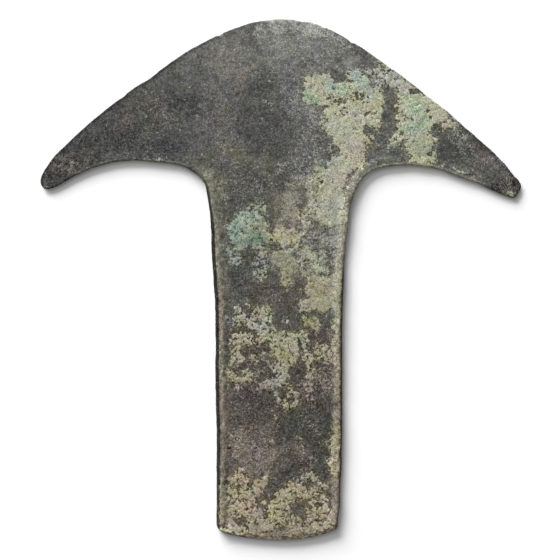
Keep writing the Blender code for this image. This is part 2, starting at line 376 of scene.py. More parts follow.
# Thick crust, by how much of the metal it covers. Over 1 it has no holes.
CRUST = {
    1.08: [
        [(-35.4, 34.5, 0.3), (-33.8, 34.4, 0.35)],
        [(15, 44.2, 2.4), (19, 43.4, 4.2), (21.4, 41, 3.9)],
        [(20.8, 40, 4.8), (20.8, 36.5, 4), (20.4, 34.6, 4)], [(48.2, 45, 1.4), (49.8, 44.6, 1.1)],
        (28.4, 53, 1.5),
        [(17.6, 32.5, 3.4), (15.4, 29, 3.6), (14.6, 26, 3.6), (14.4, 21.8, 4.2), (14.6, 18.5, 3.6)],
        [(16, 0.2, 2), (16.5, -4, 2), (16, -7.5, 1.8)], [(1.1, 12.6, 2.5), (3.5, 12.4, 2.3)],
        [(0.2, 5.8, 3), (2.8, 3.4, 2.6)],
        [(9.8, -2, 3.4), (13.6, -3.5, 4.4), (12.6, -6.3, 3.4)], (2.1, -33.2, 0.55), (-0.9, -33, 0.45),
        (-6.3, -28, 0.5), (2.3, -12, 0.8), (-12, -31.4, 1.1),
        (13.4, -53, 0.3), (6, -57.4, 0.4), (-15.8, -71.4, 0.6),
    ],
    1.03: [
        (31.1, 61.2, 0.9),
        [(9.8, 53.8, 3.2), (10.6, 56.8, 3.2), (13.4, 57.8, 2.2)],
        [(13, 53, 3), (17, 54.3, 2.8), (21, 55, 2.6), (26, 53, 3), (27.2, 51.3, 2.4)],
        [(15, 48, 3), (19.5, 48, 3.6), (24.5, 48.5, 3.6), (27, 46, 2.2)],
        [(35.8, 54.5, 2), (37.5, 51.5, 3.4), (41.5, 50.5, 3.4), (44.8, 48.4, 2.6)],
        [(36.3, 47.3, 3), (41, 47, 4.2), (46, 47.3, 2.2), (49, 45.8, 1.3)],
        [(34.8, 51, 1.4), (35, 47, 1.2)], [(36.2, 43.8, 3), (39.5, 42.5, 3.6), (41.5, 40, 3)],
        [(38.6, 38.6, 2.2), (41, 37, 2.7), (41.2, 34.8, 2.8), (42.8, 35.4, 2.2)], (13.6, 42.4, 1),
        (24.5, 45.4, 1.4), (27.6, 49.4, 2.3),
        (-1.2, 11.2, 0.9),
        (8.9, -13, 1), (-1.2, -27.4, 1.1),
        (-16.8, -70.2, 1.2), (-15.8, -58.6, 1),
    ],
    0.9: [
        [(21.8, 58.6, 2.9), (24, 57, 2.6)], [(33.2, 40.2, 1.5), (34.8, 41.8, 1.6)],
        [(32.8, 57.3, 2.1), (35.5, 56.8, 1.6), (38.2, 56, 1.2)], (31.3, 39.1, 0.7), (25.6, 40.2, 1.4),
        [(-12, 15.6, 2.5), (-12.3, 11.6, 2.6), (-8.6, 12.2, 3.2), (-5.2, 11.9, 2.8)],
        [(12, 31, 1.8), (10.8, 28, 1.8)], (-11, 16.6, 2),
        [(3.2, -18.8, 2), (3.6, -20.6, 2.8), (0.5, -21.5, 3)],
        [(1, -24, 2.6), (0.2, -27, 2.7), (0.2, -29, 2), (-3.6, -30.2, 1.4), (-5.6, -30.9, 0.9)],
        [(-12.6, -20.3, 2.2), (-12.2, -22.4, 1.7), (-14.3, -24.5, 1)], (6.8, -7.6, 1.7), (8.5, -6.8, 2.4),
        [(-1.4, -62.2, 1.3), (3, -62.6, 1.9), (7.6, -62.6, 1.5)], [(2.9, -59.4, 1.3), (2.6, -62, 1.6)],
        [(6, -59.9, 1.5), (6.4, -62, 1.5)], [(-16.6, -58.5, 1.2), (-16.4, -66, 1.8), (-15.8, -70.6, 2.8)],
        [(-12, -72, 2), (-4, -72.4, 2.4), (4, -72.2, 2.2), (13.5, -71.6, 2)],
    ],
    0.78: [
        [(28.6, 62.3, 1.2), (30.6, 60.4, 1.9), (34, 58, 2.1), (37.3, 56, 1.7)],
        [(-9.6, 17.6, 2.6), (-7, 16.8, 2.5), (-5.2, 15, 1.8)], [(-13.6, 9.3, 1.7), (-14, 7.6, 1.4)],
        [(7.2, 7.6, 2), (9.5, 6.6, 1.5), (8, 5, 1.4)], [(10.2, 4.2, 1.5), (12, 2.8, 1.5)],
        [(4.2, 9.6, 1.5), (1.6, 9.5, 1.6)], [(6.8, 2, 1.8), (6, 4.6, 1.4)],
        [(-12.2, -9.4, 1.5), (-11.8, -11.8, 2.3), (-12, -17.2, 2.7), (-8.6, -17.2, 2.4)],
        [(-8, -10.8, 2.4), (-4.9, -9.9, 2.5), (-5.2, -12.8, 2), (-7.8, -13.1, 2.2)],
        [(-5.6, -15.8, 2.3), (-3.2, -16.6, 2.4)],
        [(-8.6, -17.4, 2.2), (-5.6, -17.6, 1.6), (-3, -17.8, 1.8)], [(-0.3, -17.8, 3.2), (2.5, -17.8, 2.9)],
        [(7.8, -12, 1.6), (9.6, -12.6, 1.9)], [(6.4, -15.8, 1.3), (6.6, -18.6, 1.7)],
        [(8.2, -21.6, 2.2), (12.3, -21, 2.4), (13.6, -23.6, 1.6)],
        [(16.2, -11.6, 1.3), (16.4, -16, 1.1), (15.8, -20, 1.4), (16, -24, 1)],
        [(-8.8, -21.5, 1.1), (-7.4, -22.6, 0.9)],
        [(-14.7, -26.6, 1.2), (-12.4, -29.2, 1.6), (-9.4, -27.4, 1.5)],
        [(2.6, -30.8, 1.2), (4.2, -33, 1), (4.8, -36, 0.9)],
        [(-0.2, -34.9, 0.9), (0.8, -35.5, 1), (2.1, -37, 0.8)], [(8, -24, 1.6), (8.6, -27.5, 1.3)],
        [(-2.4, -38, 1.2), (-1.4, -39.6, 0.9)], (1.8, -0.2, 1.6),
        [(1.6, -66.4, 1.6), (2, -69.2, 2)], [(-11.2, -56.2, 2), (-11.6, -59.5, 2.9), (-15.6, -58.6, 2.2)],
        [(-15.5, -62, 2.2), (-11, -62.5, 2.8), (-7, -60.6, 2.6), (-4.6, -58.6, 1.5)],
        [(-13, -67, 3.4), (-8, -67, 3.4), (-3, -67, 2.8), (0, -68, 2.2)], [(-8, -71, 2.4), (-1, -71, 2.4)],
        [(-17, -57.5, 1.3), (-17, -64, 1.6)], [(-1.8, -64.6, 1.8), (0.6, -65.8, 1.6)],
        [(9, -65, 1.8), (12, -66.5, 2.2), (14, -68, 1.6), (9.5, -68.8, 1.8)],
        [(16.2, -42, 0.6), (15.8, -47, 1.3)], [(7.4, -55.4, 1), (9.4, -57.2, 1.4), (12, -59.4, 1.3)],
        (4.5, -69.3, 1.4), (8.2, -67.2, 1.1),
    ],
    0.66: [
        [(66, 25, 0.5), (67.2, 24.3, 0.8)], [(26.4, 58.6, 2.2), (28.4, 57.4, 1.6), (27.6, 55.4, 1.3)],
        [(46.5, 43.6, 1.8), (48.2, 44.2, 1.4)], (27.4, 44, 1.3), (29.5, 59.8, 1.2), (45, 40.6, 1.4),
        (28.4, 42.2, 0.7), (28.3, 38.6, 0.8),
        [(-8.6, 19.6, 2.6), (-6.6, 20.6, 1.4)], [(-5, 22.4, 0.6), (-4.4, 20.8, 0.8)],
        [(10.4, 28, 1.9), (10, 24, 2), (9.6, 20, 1.8)], [(19, 29, 2.2), (18.6, 25.5, 1)],
        [(6.6, 17.6, 2), (7.4, 15.6, 1.4), (9.4, 19.6, 2)],
        [(-5, 6.2, 1.8), (-5.8, 3, 2.3), (-5.6, 0.8, 1.5)],
        [(-13.2, 5.2, 1.8), (-11.6, 6.8, 1.4), (-8.2, 8.4, 1.4)], [(12.6, 7.2, 1.8), (13.4, 9, 1.2)],
        (13.8, 2, 1.4),
        [(-17.3, -19.4, 1.1), (-17.3, -23.2, 1.4)], [(8.4, -30.5, 1.3), (8.8, -34, 1.3)],
        (-5.2, -21.2, 0.9), (-9.3, -7.4, 1), (-6.3, -28, 0.7), (-15.4, -11.2, 0.9), (-14.9, -20.6, 0.8),
        [(15.8, -47, 1.4), (15.4, -53, 1.5), (16, -57, 1)], [(10.4, -60.4, 1.3), (9.6, -62.6, 1)],
        [(12.6, -60.6, 1.2), (12.6, -62.6, 1.2)],
    ],
    0.45: [
        [(-33.5, 45, 0.3), (-29, 46.2, 0.3)],
        [(14.4, 38.5, 1), (14.8, 35, 1.2)],
        [(30, 33.2, 0.7), (33, 33.5, 0.8), (43, 33.4, 0.9), (50, 31.8, 0.8), (55, 29.8, 0.9)],
        [(52, 42.2, 1.5), (53.6, 41, 1)], (67.2, 24.8, 0.8),
        [(-4.6, 51.8, 0.7), (-2.4, 50.2, 0.6)],
        [(8.5, 12.8, 2.6), (12, 11.4, 2.2)],
        [(-17.3, -19, 0.9), (-17.2, -25, 1.2), (-16.9, -31.6, 1.4)], [(13.2, -26, 1.5), (13.6, -30.5, 1.4)],
        [(5.8, -46.4, 0.9), (6.4, -49.3, 0.9)], [(-12.6, -47.8, 0.8), (-12.2, -51, 1)],
        [(-6, -50.8, 1), (-4.6, -53, 0.8)], (2, -48.3, 0.5), (-8.3, -44, 0.8),
    ],
    0.24: [
        [(8.5, -36, 1.6), (9.6, -30, 2), (12.4, -27, 2)], (-6, -23.6, 2),
        [(-13, -47, 4), (-6, -47, 4.5), (-9, -51, 4), (-3, -51, 3)], [(7.5, -50, 1.6), (8, -54, 1.6)],
    ],
}
# Bare metal and holes in the growths, by how much of the crust they take away.
BARE = {
    1.3: [
        [(31.3, 54.5, 1), (31.5, 50, 0.9), (32, 46.5, 0.8), (31.2, 43.6, 1.4)],
        [(38, 54.2, 0.6), (39.8, 54.4, 0.6)], [(44.6, 44, 0.7), (46.2, 44.4, 0.4)],
        [(44.4, 42.2, 0.8), (46.8, 41.6, 1)], [(16, 59.2, 1.4), (17.6, 58, 1)], (29.8, 43, 1),
        [(-9.6, 7.4, 1.5), (-8.4, 7.6, 1.2)], (21, 25.5, 0.8),
        [(-10.2, -8, 0.4), (-9.4, -9.2, 0.5), (-9.2, -10.4, 0.4)],
        [(-13.4, -14.4, 0.7), (-10.8, -14.3, 0.8), (-8.4, -14.9, 0.5)],
        [(-10.2, -20.8, 1.3), (-8.4, -20.6, 1), (-7, -20.9, 0.5)], [(6.4, -1, 1.6), (4.8, 0.6, 0.9)],
        [(10.4, -10.2, 0.5), (13.5, -10.9, 0.5), (17, -10.2, 0.4)], [(3.6, -26.5, 0.9), (4.6, -28.2, 1.2)],
        (0.6, -33.6, 0.7), (3.4, -34.8, 0.5), (-7.4, -16.4, 0.4),
        [(5.2, -66.8, 1.4), (5.6, -65.6, 1.2), (6.2, -68.2, 0.6)], [(-11.2, -70, 1.3), (-12, -70.7, 0.6)],
        [(-2.4, -61.4, 0.8), (-1.4, -59.2, 1.4)], [(-6.6, -64, 0.3), (-5.2, -66, 0.4), (-4.2, -68.4, 0.4)],
        (14.6, -61.6, 0.9), (10.6, -65.2, 0.6),
    ],
    0.5: [
        [(14, 52.2, 0.7), (17, 51.2, 1.3), (18, 52, 0.5)], [(21.8, 53.4, 1), (24.4, 52.4, 1.2)],
        [(24.4, 47.6, 0.6), (27.4, 48.6, 0.6)], [(34.6, 47.8, 0.9), (37.6, 46.2, 0.9)], (18.4, 48.6, 1.2),
        (35.4, 42, 0.9), (12.2, 56.2, 0.5), (16.2, 47.8, 0.4), (21.6, 47.4, 0.6), (42.6, 48.6, 0.5),
        (40.2, 44.4, 0.5), (38.6, 40.2, 0.4), (33.5, 57.8, 0.7), (43.4, 36.2, 0.8), (43.4, 46.6, 0.4),
        [(22.6, 31.4, 1.2), (20.6, 29.5, 1.2), (21, 25.5, 1)], (8.3, 4.9, 1.2), (19.2, 25.4, 1.2),
        (-2.8, 14.3, 0.8), (9.2, 17.8, 1.1), (9.4, 30.3, 1), (0.2, 8.8, 0.7), (16.2, 23.8, 0.6),
        (4.9, -14.9, 0.6), (-6.4, -11.9, 0.5), (-10.6, -7.4, 0.5), (-13.1, -24.2, 0.6), (-11.8, -27.4, 1.1),
        (0.2, -24.4, 0.5), (9.8, -22.2, 0.6), (-12.6, -10.2, 0.6), (1.6, -19.2, 0.5),
        [(-1, -72.2, 0.7), (1.5, -71.8, 0.6)], (10.6, -68.9, 0.8), (-12, -59.8, 0.6), (-8.2, -65.6, 0.6),
    ],
}
# Pale dust that thins out over the dark metal, by how much of it the dust hides.
HAZE = {
    0.85: [
        [(-1.6, 72.6, 1.6), (3, 72.4, 1.4)], (8, 72.2, 1.8), (10.4, 71, 1.2),
        (10.6, 32.6, 1.6),
        [(2.8, 24.4, 0.6), (3.2, 22, 1.7), (3.6, 17.2, 2.2)],
        [(9.2, 27.6, 2), (8.6, 23.6, 1.6), (8.4, 18.6, 1.6)],
        [(15.6, 15.4, 1.8), (15.8, 10, 1.6), (15.8, 3, 1.6)], [(0.4, 15.8, 1.8), (9, 15.4, 1.6)],
        [(3.4, 2.4, 2), (10, 2.2, 2)], (5.6, 24.3, 1), (-0.4, 2.4, 1.2), (5.4, 22.8, 1), (13.8, 2.3, 1.2),
        (-13.4, 9, 1), (-18.7, 20.6, 1),
        (8.9, -13, 1.6), (-17.3, -21.8, 0.8), (13.6, -8.8, 1.6),
    ],
    0.6: [
        [(13.8, 70.8, 1.4), (18, 68.8, 1)], (30, 61.6, 1.4), (-17.2, 67.6, 1.2), (-5.4, 71, 1.8),
        (50.5, 43, 1.8), (66.2, 27.2, 1.5), (26.5, 57, 3),
        [(5.8, 49.2, 2.2), (10.5, 48, 2.6)],
        [(7.5, 30, 3), (5, 28.4, 2.4)], [(-9, 14, 6), (-7, 19, 3.2)], [(4.5, 7, 5), (12, 6.5, 3.5)],
        [(-19.6, 30, 1.3), (-18.2, 26.4, 1.5), (-18, 21, 1.2)], (0, 31.6, 1.2), (10.5, 11.6, 4),
        (12.6, -31, 1.6), (-4, -22, 2),
        [(-12, -47, 3.5), (-6, -52, 4)],
    ],
    0.42: [
        [(0, 68, 3.2), (8, 66, 2.5)], (21.6, 63.3, 1.4),
        [(50, 42.5, 3), (54, 39.5, 1.8)], [(58, 36.5, 1.6), (62, 33.8, 1.6)], (64.5, 28.6, 1.8),
        (66, 28, 2),
        [(8, 43, 4), (9, 37, 4), (6, 33, 4)], [(3, 54, 3), (5.5, 49.5, 3.6)], (-6, 33.5, 2),
        (-18.3, 35, 1.6),
        (6.4, 24.8, 1.4),
        [(8, -30, 3), (13, -28, 3)], [(-14.5, -24, 2), (-15.6, -32, 1.5)],
        [(-17.4, -20, 1.2), (-17.2, -30, 1.2)], [(-16.4, -40, 1.2), (-16.4, -54, 1.2)], (-8, -22, 3),
        (12.4, -32.5, 2),
        [(-14, -48, 4), (-6, -49, 5)], [(8, -53, 1.6), (6.5, -50, 1.4)], (-2.4, -41.5, 1.2),
    ],
    0.28: [
        [(-17, 63, 5), (-6, 63, 5), (8, 61, 5), (16, 64, 4)],
        [(-36, 52, 3), (-32, 47, 3)], [(-64, 32, 3), (-61, 34, 3)],
        [(29, 38, 3), (27.5, 35, 2)], [(54, 36, 3), (60, 32, 3)],
        [(-17, 55, 4), (-19, 48, 5), (-15, 39, 4)], (-12.5, 34, 2),
        [(-14, 29, 4), (-6, 27, 4)],
        (-8, -36, 6), (-3, -4, 3), (-4, -26, 4),
        [(10, -45, 3), (8, -35, 3)], (5, -67, 2),
    ],
}
RAGGED = 0.55  # how far the growths' outlines wander
MARGIN = 0.8  # the crust thins out over this width
PITTED = 0.6  # and where it is most pitted it loses this much of its holes and thin places
DUSTING = 3.0  # dust lies this far round every growth
STAINING = 1.6  # and its hue bleeds this far into the metal


def reach(places, chain):
    """How far inside a chain each place is, in millimetres, and below 0 outside it.

    It is the blots' radius less the distance to the line between them, at its nearest point.
    """
    chain = np.array(chain, float).reshape(-1, 3)
    best = np.full(len(places), -1e3)
    for start, finish in zip(chain, chain[1:] if len(chain) > 1 else chain):
        run = finish[:2] - start[:2]
        t = np.clip((places - start[:2]) @ run / max(run @ run, 1e-9), 0, 1)
        gap = np.linalg.norm(places - start[:2] - t[:, None] * run, axis=1)
        best = np.maximum(best, start[2] + (finish[2] - start[2]) * t - gap)
    return best


def reach_any(places, chains):
    """How far inside the nearest of several chains each place is."""
    return np.max([reach(places, chain) for chain in chains], axis=0)


def crust_share(places, seed):
    """How much of the metal the crust covers round each place, the dust covers, and both stain.

    Each is a smooth step across the chains' outlines, which wander in and out with a noise.
    """
    wander = RAGGED * (0.7 * cloud(places, 4.5, 2, seed) + 0.45 * cloud(places, 1.6, 2, seed + 5))
    share, dust, stain = (np.zeros(len(places)) for _ in range(3))
    for cover, chains in CRUST.items():
        within = reach_any(places, chains) + wander
        share = np.maximum(share, cover * rise(-MARGIN, MARGIN, within))
        dust = np.maximum(dust, 0.55 * min(cover, 1) * rise(-DUSTING, 1, within))
        stain = np.maximum(stain, min(1.2 * cover, 1) * rise(-STAINING, 0.8, within))
    pits = rise(0, 1.3, cloud(places, 4.0, 2, seed + 9))
    share -= PITTED * (1.3 - share) * share.clip(0, 1) * pits
    dust *= 1 - 0.6 * rise(0.3, 0.8, share)
    for cover, chains in HAZE.items():
        within = reach_any(places, chains) + 2.5 * wander
        dust = np.maximum(dust, cover * rise(-2.5, 1.5, within))
    for loss, chains in BARE.items():
        within = reach_any(places, chains) + 0.4 * wander
        share = share - loss * rise(-0.4, 0.4, within)
        if loss > 1:
            dust = dust * (1 - 0.7 * rise(-1.0, 0.8, within))
            stain = stain * (1 - 0.75 * rise(-0.5, 0.7, within))
    return share.clip(0), dust, stain


def even(noise):
    """Noise with a bell-shaped spread made even from 0 to 1, so a share of it is a share of area."""
    return 0.5 * (1 + np.tanh(0.85 * noise + 0.04 * noise**3))


def lacework(places, seed):
    """The order in which places are covered, evenly spread from 0 to 1: small lobes and holes.

    The noise is looked up at places pushed about by another, which makes the lobes ragged.
    """
    push = np.column_stack([cloud(places, 1.1, 1, seed + 20), cloud(places, 1.1, 1, seed + 30)])
    return even(cloud(places + 0.3 * push, 1.05, 2, seed, fade=0.7))


# ------------------------------------------------
# The patina's colours: olive and green crust over a dark grey-brown skin on the copper.
# Each is (red, green, blue) as seen on a screen, from 0 to 255. A tint is a colour, how
# softly it ends, and the chains or blots where it lies, over the tints before it.

GLOW = 1.27  # the studio shows a flat skin brighter than it is by this factor
PAINTED_SHEEN = 0.018  # and a painted sheen on everything sends back this much light besides
CRUST_BASE = (172, 172, 149)
CRUST_TINTS = [
    ((148, 149, 141), 6, [(-45, 44, 16), (-18, 54, 18), (-4, 50, 8)], [(55, 36, 8), (66, 28, 8)],
     [(4, 62, 8), (12, 66, 6)]),
    ((150, 151, 146), 3, [(5, 50, 3), (8, 40, 4), (6, 34, 3)], [(12.5, 41, 1.5), (13.4, 34, 1.6)],
     (26.5, 57.4, 2.4), [(20.5, 61.5, 1), (24.5, 61, 1)]),
    ((174, 175, 166), 4, [(-6, 72, 3), (3, 72, 3)], [(-9, 66, 1.5), (-4, 65, 2)]),
    ((190, 192, 182), 3, [(9, 72, 3), (18, 69, 2)]),
    ((138, 140, 116), 4, [(-19, 30, 2), (-17, 22, 3)], [(-13, 35, 2), (-5, 33, 2)], (29, 36, 3)),
    ((166, 166, 145), 5, [(14, 24, 6), (13, 18, 4)]),
    ((172, 174, 151), 3, [(14, 45, 3), (19, 43, 4), (17, 37, 3)]),
    ((165, 167, 146), 3, (14, 29, 3)),
    ((150, 151, 145), 1.5, (13.4, 34.4, 1.4)),
    ((163, 158, 134), 5, [(0, -12, 20), (0, -30, 20)]),
    ((171, 172, 148), 1.6, [(9, 56.5, 2.6), (9, 53.5, 2.6)],
     [(13, 56, 2), (14, 52, 2), (22, 51, 3), (27, 51, 2)]),
    ((152, 154, 142), 1.5, (10.5, 44.2, 1.2), (14, 36.5, 1.2), (12, 32.4, 1.2),
     [(28.5, 38.7, 1.2), (33.7, 37.4, 1)]),
    ((165, 155, 131), 5, (0, -66, 20)),
    ((157, 174, 152), 1.2, (8.5, 52.5, 1.3), [(15, 55.5, 1.2), (19, 55, 1.4)], (27, 53, 0.8),
     (23.6, 56.6, 1)),
    ((170, 186, 158), 1.2, [(38, 50.2, 1.6), (40.5, 48.5, 2.2)]),
    ((151, 168, 141), 1.2, [(36.8, 43.4, 1.6), (40, 44.2, 1.6), (43, 46.2, 1.4)]),
    ((160, 174, 158), 1.2, (22.4, 58.4, 2.2)),
    ((172, 168, 136), 1.6, (20.5, 51.8, 1), [(26.8, 49.2, 0.8), (28, 51, 0.8)],
     [(38, 34.4, 1), (43, 34, 0.8)]),
    ((174, 166, 148), 2.5, [(22.5, 38.5, 2.2), (22, 35, 2)], [(48, 46, 1.2), (47, 43.6, 1.2)], (19, 29, 2)),
    ((174, 174, 146), 2, (45, 48, 1.6)),
    ((152, 156, 132), 2.5, [(40.5, 38, 2), (41.5, 36, 2)]),
    ((136, 156, 141), 2, [(-12.4, 15.6, 2.4), (-12.8, 11.4, 2)]),
    ((106, 124, 106), 2, [(-9, 11.3, 1.6), (-5.4, 11.8, 1.6)]),
    ((132, 140, 121), 2, [(-8, 19.5, 3), (-6, 16, 2)], (-14, 8, 1.5)),
    ((158, 170, 156), 1.5, [(-10.5, 17.4, 1.4), (-7.5, 18.4, 1)]),
    ((167, 159, 129), 2, [(0, 13, 2.5), (3.5, 12.3, 2.2)]),
    ((160, 153, 131), 2.5, [(1.6, 25, 2.4), (3, 20, 2.6), (3, 16, 2)]),
    ((148, 150, 140), 1.5, [(6.6, 25, 1.4), (6.6, 22, 1)]),
    ((170, 172, 136), 1, (67, 24.5, 1.2)),
    ((160, 163, 149), 2.2, (17.2, 21.9, 1.8)),
    ((138, 138, 122), 2, (17, 17.4, 1.6)),
    ((146, 140, 124), 1.2, [(16.2, -14.6, 1.2), (15.6, -17.5, 1.4)]),
    ((174, 178, 163), 1.8, [(-7, -13.3, 1.2), (-3.6, -13, 1.2)], (-9, -10.2, 0.8)),
    ((164, 170, 158), 1.8, (-12.3, -8.4, 1.2)),
    ((137, 137, 116), 2, [(0, 6, 2.8), (3, 3.5, 2.4)]),
    ((142, 147, 136), 1.8, (-5.5, 4, 3), [(-13, 5.4, 2), (-9, 8, 1.5)], (12.5, 8, 2.5)),
    ((147, 146, 137), 1.8, (10, 12, 3.4)),
    ((160, 164, 142), 1.5, [(7.2, 7.6, 2), (10, 5, 1.5), (12, 2.8, 1.4)],
     [(16.5, -10, 0.8), (16.4, -13, 0.8)]),
    ((151, 148, 124), 2, [(9.5, -3, 3.5), (13.5, -5, 4.5)]),
    ((144, 142, 122), 1.5, [(16.6, 4, 1.2), (16.6, -6, 1.2)]),
    ((166, 167, 157), 2, [(30, 60, 1.5), (36, 57, 1.5)]),
    ((149, 146, 112), 1.5, [(-1, -19.5, 1.6), (2, -23, 2)], (8, -12.5, 2)),
    ((156, 158, 138), 2, [(0.5, -16.5, 1.6), (4, -17.5, 1.4)]),
    ((168, 162, 142), 2, (-11, -17, 3), (-13, -22, 2)),
    ((160, 159, 142), 2, (-12, -11, 2), (0, -28, 2.5), [(9, -57, 1.5), (12.5, -60, 1.5)]),
    ((162, 156, 126), 2, [(3, -62, 2), (7, -61, 2)], [(-3, -67, 2), (0, -70, 2)],
     [(-16.8, -59, 1), (-16.4, -66, 1.2)]),
    ((176, 162, 138), 2, [(11.5, -67, 2), (14, -67.5, 1.6)], (-9, -66, 2), (-11, -57, 2)),
    ((158, 147, 130), 2, (-15, -71, 2), (-6, -68, 1.5)),
    ((130, 121, 105), 1.5, [(-6, -73.6, 1.6), (8, -73.6, 1.6)]),
    ((146, 139, 121), 1.6, (14, -69.8, 1.6)),
    ((142, 131, 123), 3, [(-7, -49, 6), (-13, -50, 4)], (6, -48, 2), [(13, -28, 3), (9, -33, 2)],
     (-8, -36, 6), (8, -52, 3)),
    ((145, 139, 109), 1.5, [(16, -39, 1.4), (15.6, -48, 1.6)]),
    ((158, 147, 116), 1.5, [(15.6, -54, 1.6), (15.6, -57, 1.4)]),
    ((152, 154, 148), 1, (-6.3, -28, 0.8), (2.1, -33.3, 0.8), (-0.9, -33, 0.7), (-15.4, -11.2, 1)),
    ((186, 184, 172), 1, (-35, 34.5, 1)),
    ((186, 188, 178), 1, (2.3, -12, 0.8), (13.4, -53, 0.6), (6, -57.4, 0.6)),
    ((222, 219, 209), 0.5, (-15.8, -71.4, 0.7)),
]
GROUND_BASE = (79, 79, 76)
GROUND_TINTS = [
    ((77, 71, 65), 6, [(0, -22, 14), (0, -62, 16)]),
    ((79, 79, 73), 5, [(0, 20, 14), (0, 0, 14)]),
    ((71, 71, 68), 5, [(-60, 36, 3), (-50, 45, 3), (-44, 50, 2)]),
    ((92, 92, 89), 4, [(-24, 37, 2), (-25, 44, 1.5)], [(-33, 58, 2), (-26, 61, 2)], (-26, 55, 2)),
    ((106, 106, 101), 8, [(-18, 66, 5), (-8, 64, 8), (8, 65, 8), (18, 64, 4)]),
    ((88, 88, 84), 6, [(8, 46, 5), (10, 36, 4)], [(30, 40, 6), (40, 38, 4), (58, 33, 4)]),
    ((99, 99, 96), 4, [(3, 53, 3), (8, 49, 3)]),
    ((124, 124, 119), 2, (11.5, 62, 1.4)),
    ((128, 128, 123), 1.5, (20.4, 63, 1)),
    ((96, 96, 91), 2.5, (-40, 46, 1.6)),
    ((93, 92, 88), 5, (3, 36, 2), [(-20, 58, 4), (-17, 48, 5), (-16, 38, 3), (-20, 30, 3)]),
    ((76, 77, 72), 6, [(-38, 46, 4), (-46, 42, 3)]),
    ((117, 118, 113), 4, [(-2, 69, 3), (6, 71, 2.5), (14.6, 70.2, 1.4)]),
    ((154, 154, 146), 0.8, [(-2, 75, 0.9), (6, 75, 1.1), (12, 72.9, 1.3)]),
    ((114, 114, 109), 4, [(-22, 66, 2), (-16, 69, 2)]),
    ((61, 61, 61), 3, [(-36, 38, 2), (-31, 37, 2)], [(-31, 51, 1.5), (-26, 51, 2)],
     [(-49, 44, 2), (-46, 41, 2)]),
    ((57, 56, 54), 4, [(-66, 30, 2), (-55, 37, 3)], (-54, 45, 1)),
    ((58, 58, 57), 2, [(-54.4, 33.4, 1.2), (-54.2, 30.6, 1.2)]),
    ((64, 64, 62), 2, [(-58, 35.5, 1), (-48, 37.4, 1), (-38, 37.4, 1)]),
    ((75, 75, 72), 3, [(-8, 46, 4), (-4, 39, 4), (-2.4, 45, 2)], (-6, 56, 3)),
    ((112, 104, 98), 2.5, [(-16, 66, 1), (-15, 62, 1.2), (-12, 58.5, 1.6)]),
    ((88, 79, 75), 2.5, [(-38, 50, 1.5), (-36, 48.5, 1)]),
    ((88, 78, 74), 2, [(-43.5, 47.5, 0.8), (-45.5, 45, 0.8)], (-19, 47.8, 0.6), (-34, 44.5, 0.5),
     (-22, 33, 0.8)),
    ((77, 68, 65), 2.5, (-61, 35.5, 1.4), [(-64, 31, 1), (-59, 32, 1)]),
    ((101, 93, 85), 2, [(-16.5, 36.5, 1), (-14, 38, 1)]),
    ((97, 97, 83), 3, [(-21, 31, 1.5), (-18.5, 27, 2), (-18, 21, 1.5)], [(-13, 36, 1.5), (-5, 33.5, 1)]),
    ((65, 65, 60), 3, [(47, 37, 2), (54, 37, 2)]),
    ((92, 91, 83), 1.5, [(31.3, 54, 1.2), (31.4, 49, 1.2)], (31.5, 44, 1.2)),
    ((93, 93, 89), 2.5, [(27, 41, 1.5), (28, 36.5, 1.5)]),
    ((86, 79, 75), 2, [(60, 36.5, 1), (57.5, 37.5, 1.4)]),
    ((68, 62, 58), 2.5, (66.5, 28, 2)),
    ((50, 42, 39), 1.2, [(61.6, 27, 0.8), (64, 26.4, 0.7)], (67, 28, 0.7)),
    ((92, 90, 85), 3, [(8, 12, 2), (12, 12, 3)], (7, 19, 2)),
    ((116, 110, 95), 3, [(1, 23, 2), (4, 17, 2)], (7, 25, 1.5)),
    ((113, 107, 95), 3, (19, 28, 2)),
    ((76, 77, 73), 2.5, [(-13, 2, 2.5), (-9, 0, 3)]),
    ((78, 78, 73), 2.5, [(1, -9, 2.5), (3, -12, 2)]),
    ((82, 75, 68), 2.5, [(-5, -3, 2.5), (2, -4, 2.5), (6, -1.5, 1.2)]),
    ((79, 71, 68), 2.5, [(10, -15, 2), (12.5, -16, 2)], (-15.5, -15, 0.8)),
    ((67, 62, 60), 2, [(-8.4, -20.4, 1.5), (-5, -21, 1.2)]),
    ((68, 61, 57), 4, [(-10, -34, 4), (-2, -35, 4), (10, -34, 3)], (-10, -39, 3)),
    ((117, 106, 97), 5, [(-14, -44.5, 1), (-13, -48, 2), (-6, -49, 3), (-9, -54, 2), (-3, -51, 2)]),
    ((120, 117, 104), 2, (0.5, 15.6, 1.5)),
    ((104, 102, 93), 2, [(3, 15.5, 1.5), (9, 15.2, 1.5)], [(4, 2.6, 1.5), (10, 3, 1.5)]),
    ((67, 63, 57), 3, [(3, -42, 3), (11, -42, 3), (11, -50, 2.5), (2, -57, 2.5)]),
    ((94, 87, 81), 2.5, [(1, -52, 3), (6, -50, 2)]),
    ((74, 67, 63), 2, (-5.2, -55.8, 1)),
    ((64, 69, 64), 2, [(2.5, -41.8, 1), (5, -42, 0.8)], (12.5, -42, 1.2), (11, -52, 1.2), (3, -56, 1)),
    ((86, 82, 81), 1.5, (5.4, -66.6, 2), (-11, -70, 1.5), (14.5, -61.5, 1)),
    ((97, 86, 71), 2.5, [(-12, -62, 4), (-8, -68, 4)], [(9, -63, 3), (8, -70, 2)]),
    # these two are painted light along the foot of the left rim, which lifts its shade
    ((106, 104, 93), 1.2, [(-16.8, 16, 0.9), (-16.2, -8, 0.8)]),
    ((104, 95, 86), 1.2, [(-16, -28, 0.8), (-16, -50, 0.8)]),
]
UNDER_CRUST = (64, 62, 56)  # between the growths the metal is darker
GRAIN_TONE = 66  # the grain is at its usual strength on ground of this tone
